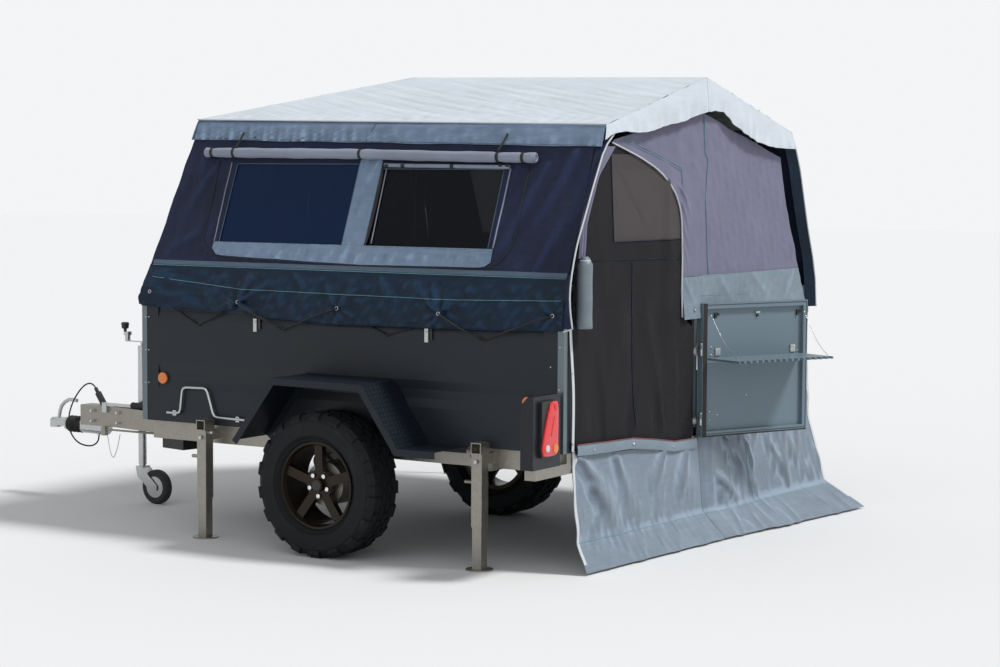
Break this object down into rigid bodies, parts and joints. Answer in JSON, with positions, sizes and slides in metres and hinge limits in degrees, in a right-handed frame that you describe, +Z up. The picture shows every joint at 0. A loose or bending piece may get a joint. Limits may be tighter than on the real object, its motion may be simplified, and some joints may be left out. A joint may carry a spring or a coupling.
{
  "type": "folding camper trailer",
  "caption": "Single-axle camper trailer whose hard lid folds out sideways and unfolds a fabric tent on bows, with a swinging tailgate, a folding shelf, corner legs and a jockey wheel.",
  "frame": {"origin": "middle of the whole unfolded trailer's box, on the ground", "axes": "+X towards the towing hitch, +Y to the trailer's left, +Z up"},
  "size_m": [4.5356, 3.0962, 2.4729],
  "materials": {
    "galvanised": "hot-dip galvanised, dull",
    "zinc": "bright zinc",
    "tub_grey": "anthracite coated sandwich panel, satin",
    "edge_alu": "mill finish",
    "black_sheet": "black powder coat on checker plate",
    "alloy": "dark bronze lacquer",
    "tyre": "matt rubber",
    "rubber": "matt",
    "black_plastic": "grained",
    "red_lens": "ribbed lens",
    "amber_lens": "ribbed lens",
    "roof_cloth": "coated canvas, light grey",
    "blue_cloth": "cotton canvas, navy",
    "dark_cloth": "coated canvas, near black",
    "lilac_cloth": "cotton canvas, grey with a lilac cast",
    "ground_cloth": "coated canvas, grey",
    "mesh": "insect mesh",
    "pane": "clear film, dark inside",
    "roll_cloth": "rolled canvas",
    "cushion": "woven cover"
  },
  "bodies": {
    "root": {"axle_tube": "galvanised", "trailing_arms": "galvanised", "chassis_frame": "galvanised", "corner_edges": "edge_alu", "coupling_head": "zinc", "drawbar": "galvanised", "fenders": "black_sheet", "front_panel": "tub_grey", "rear_panel": "tub_grey", "side_panels": "tub_grey", "tub_floor": "tub_grey", "handbrake_lever": "black_plastic", "jockey_tube": "galvanised", "lamp_housings": "black_sheet", "leg_crank": "galvanised", "leg_tubes": "galvanised", "overrun_bellows": "rubber", "overrun_housing": "zinc", "side_box": "black_plastic", "side_reflectors": "amber_lens", "tail_lamps": "red_lens", "tub_fittings": "zinc", "brake_rod": "galvanised", "tow_cable": "rubber", "tow_plug": "black_plastic", "mesh_door": "mesh", "rear_wall_left": "blue_cloth", "roof_left": "roof_cloth", "skirt_left": "dark_cloth", "wall_left": "blue_cloth", "window_panes": "pane", "cover_rolls": "roll_cloth", "ground_skirt_left": "ground_cloth"},
    "jockey_post": {"jockey_post": "zinc"},
    "jockey_fork": {"jockey_fork": "zinc"},
    "jockey_wheel": {"jockey_rim": "zinc", "jockey_tyre": "rubber"},
    "wheel_left": {"tyre_left": "tyre", "wheel_rim_left": "alloy"},
    "wheel_right": {"tyre_right": "tyre", "wheel_rim_right": "alloy"},
    "leg_front_left": {"leg_front_left": "galvanised"},
    "leg_front_right": {"leg_front_right": "galvanised"},
    "leg_rear_left": {"leg_rear_left": "galvanised"},
    "leg_rear_right": {"leg_rear_right": "galvanised"},
    "tailgate": {"tailgate": "tub_grey"},
    "tailgate_shelf": {"tailgate_shelf": "tub_grey"},
    "lid": {"lid_tray": "tub_grey", "mattress": "cushion", "roof_right": "roof_cloth", "wall_right": "blue_cloth", "window_panes_right": "pane", "skirt_right": "dark_cloth", "rear_wall_right": "lilac_cloth", "ground_skirt_right": "ground_cloth"},
    "bow_left": {"bow_left": "galvanised"},
    "bow_middle": {"bow_middle": "galvanised"},
    "bow_right": {"bow_right": "galvanised"},
    "lid_leg_front": {"lid_leg_front": "galvanised"},
    "lid_leg_rear": {"lid_leg_rear": "galvanised"}
  },
  "joints": [
    {"name": "wheel_left_spin", "type": "hinge", "parent": "root", "child": "wheel_left", "pos_m": [-0.40918, 1.40285, 0.3675], "axis": [0, 1, 0], "continuous": true},
    {"name": "wheel_right_spin", "type": "hinge", "parent": "root", "child": "wheel_right", "pos_m": [-0.40918, -0.26915, 0.3675], "axis": [0, 1, 0], "continuous": true},
    {"name": "jockey_lift", "type": "slide", "parent": "root", "child": "jockey_post", "axis": [0, 0, 1], "range_m": [-0.15, 0]},
    {"name": "jockey_swivel", "type": "hinge", "parent": "jockey_post", "child": "jockey_fork", "pos_m": [1.55082, 0.56685, 0.211], "axis": [0, 0, 1], "continuous": true},
    {"name": "jockey_wheel_spin", "type": "hinge", "parent": "jockey_fork", "child": "jockey_wheel", "pos_m": [1.44082, 0.56685, 0.1], "axis": [0, 1, 0], "continuous": true},
    {"name": "leg_front_left_lift", "type": "slide", "parent": "root", "child": "leg_front_left", "axis": [0, 0, 1], "range_m": [0, 0.2]},
    {"name": "leg_front_right_lift", "type": "slide", "parent": "root", "child": "leg_front_right", "axis": [0, 0, 1], "range_m": [0, 0.2]},
    {"name": "leg_rear_left_lift", "type": "slide", "parent": "root", "child": "leg_rear_left", "axis": [0, 0, 1], "range_m": [0, 0.2]},
    {"name": "leg_rear_right_lift", "type": "slide", "parent": "root", "child": "leg_rear_right", "axis": [0, 0, 1], "range_m": [0, 0.2]},
    {"name": "tailgate_swing", "type": "hinge", "parent": "root", "child": "tailgate", "pos_m": [-1.74518, -0.10715, 0.9], "axis": [0, 0, 1], "range_deg": [-156, 0]},
    {"name": "shelf_fold", "type": "hinge", "parent": "tailgate", "child": "tailgate_shelf", "pos_m": [-1.74335, -0.10797, 0.957], "axis": [0.4067, 0.9135, 0], "range_deg": [0, 90]},
    {"name": "lid_fold", "type": "hinge", "parent": "root", "child": "lid", "pos_m": [-0.40918, -0.13315, 1.3], "axis": [1, 0, 0], "range_deg": [-180, 0], "deforming": ["roof_left", "roof_right", "wall_left", "wall_right", "skirt_left", "skirt_right", "rear_wall_left", "rear_wall_right", "mesh_door", "ground_skirt_left", "ground_skirt_right", "window_panes", "window_panes_right", "cover_rolls"]},
    {"name": "bow_left_fold", "type": "hinge", "parent": "root", "child": "bow_left", "pos_m": [-0.40918, -0.07315, 1.275], "axis": [1, 0, 0], "range_deg": [-43.77, 0]},
    {"name": "bow_middle_fold", "type": "hinge", "parent": "root", "child": "bow_middle", "pos_m": [-0.40918, -0.07315, 1.275], "axis": [1, 0, 0], "range_deg": [-93.03, 0]},
    {"name": "bow_right_fold", "type": "hinge", "parent": "lid", "child": "bow_right", "pos_m": [-0.40918, -0.19315, 1.275], "axis": [1, 0, 0], "range_deg": [0, 43.77]},
    {"name": "lid_leg_front_fold", "type": "hinge", "parent": "lid", "child": "lid_leg_front", "pos_m": [-0.40918, -1.47115, 1.108], "axis": [1, 0, 0], "range_deg": [0, 90]},
    {"name": "lid_leg_rear_fold", "type": "hinge", "parent": "lid", "child": "lid_leg_rear", "pos_m": [-0.40918, -1.47115, 1.108], "axis": [1, 0, 0], "range_deg": [0, 90]}
  ],
  "couplings": [
    {"joint": "bow_left_fold", "follows": "lid_fold", "ratio": 0.24291},
    {"joint": "bow_middle_fold", "follows": "lid_fold", "ratio": 0.51653},
    {"joint": "bow_right_fold", "follows": "lid_fold", "ratio": -0.24291}
  ]
}
